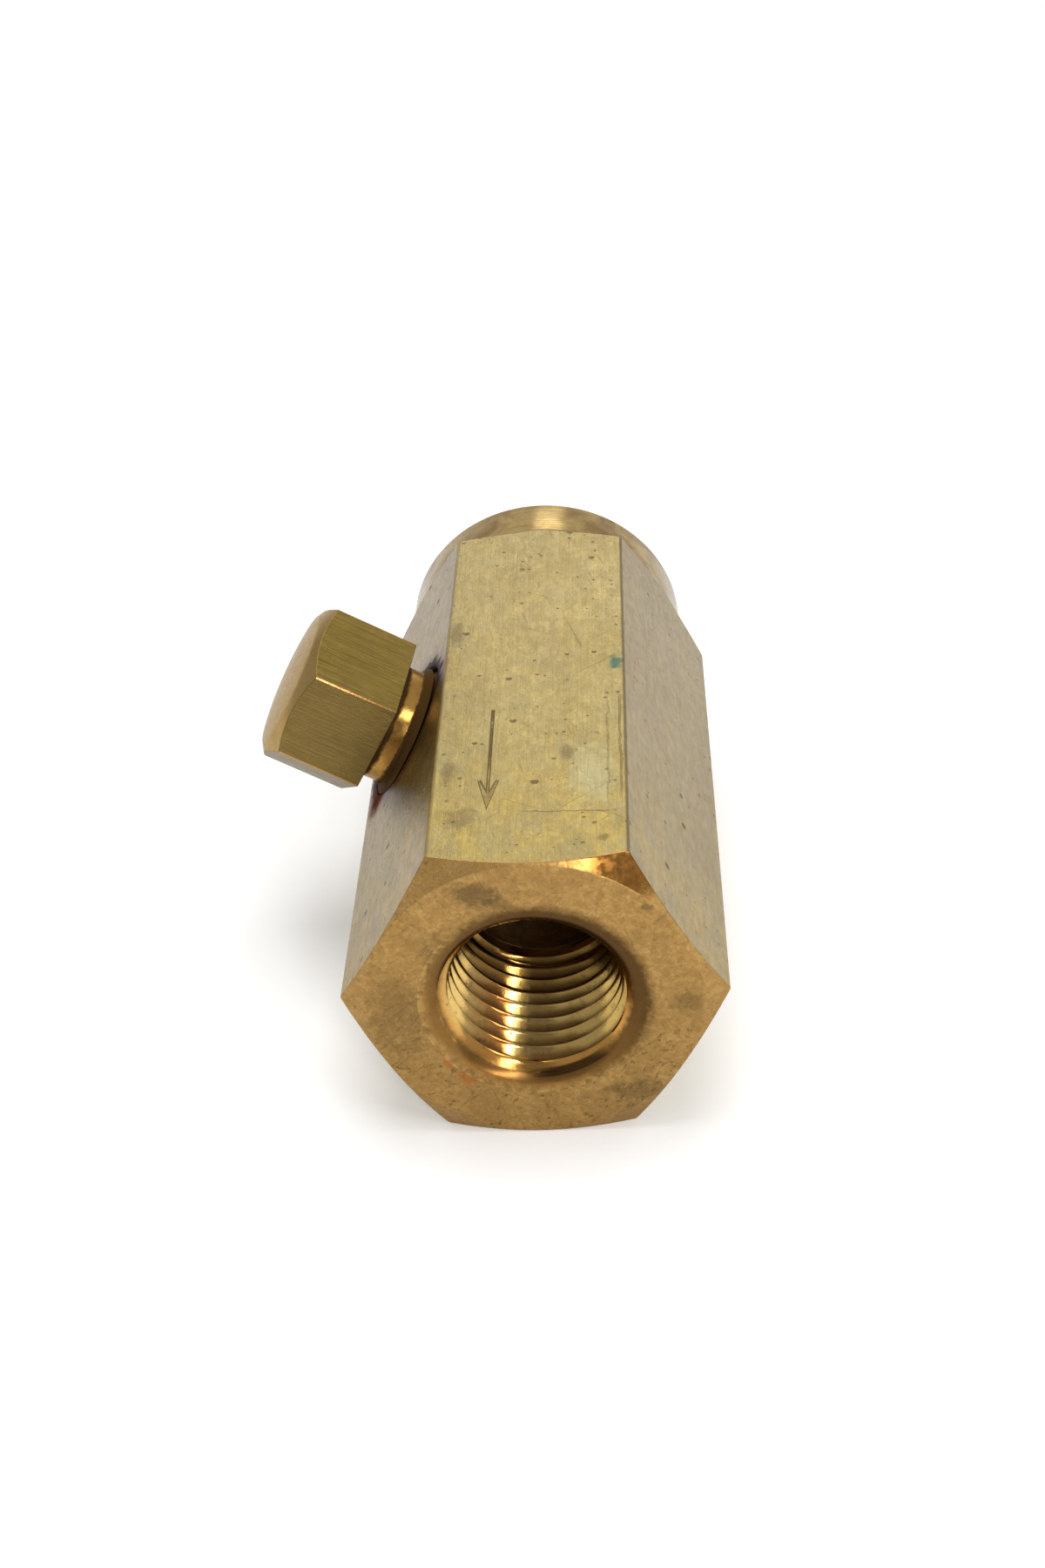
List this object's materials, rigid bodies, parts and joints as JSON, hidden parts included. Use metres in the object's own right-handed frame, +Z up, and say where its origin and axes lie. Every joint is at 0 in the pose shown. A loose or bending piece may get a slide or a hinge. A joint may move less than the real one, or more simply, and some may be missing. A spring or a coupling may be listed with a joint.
{
  "type": "non-return valve",
  "caption": "In-line non-return valve of brass hexagon bar, with a threaded pipe port in each end, a spring-closed poppet inside and a hexagon-head plug in its side port.",
  "frame": {"origin": "on the bottom flat of the hexagon body, under the bore's axis, at the middle of the body's length", "axes": "+Y along the bore towards the inlet port, so the flow leaves towards -Y; +Z up, square to the bottom flat; the side plug points to -X and up"},
  "size_m": [0.033, 0.0508, 0.0264],
  "materials": {
    "body_brass": "aged turned and drawn brass, dulled, stained and scratched",
    "plug_brass": "satin drawn brass with fine lengthwise lines",
    "poppet_brass": "bright turned brass",
    "disc_rubber": "matt black rubber",
    "spring_steel": "drawn stainless wire",
    "guide_brass": "turned brass",
    "ring_steel": "dark phosphated spring steel"
  },
  "bodies": {
    "valve_body": {"body": "body_brass", "side_plug": "plug_brass", "spring_guide": "guide_brass", "retaining_ring": "ring_steel", "spring": "spring_steel"},
    "poppet": {"poppet": "poppet_brass", "seat_disc": "disc_rubber"}
  },
  "joints": [
    {"name": "poppet_slide", "type": "slide", "parent": "valve_body", "child": "poppet", "axis": [0, -1, 0], "range_m": [0, 0.003], "stiffness_N_per_m": 400, "springref_m": -0.003, "deforming": ["spring"]}
  ]
}
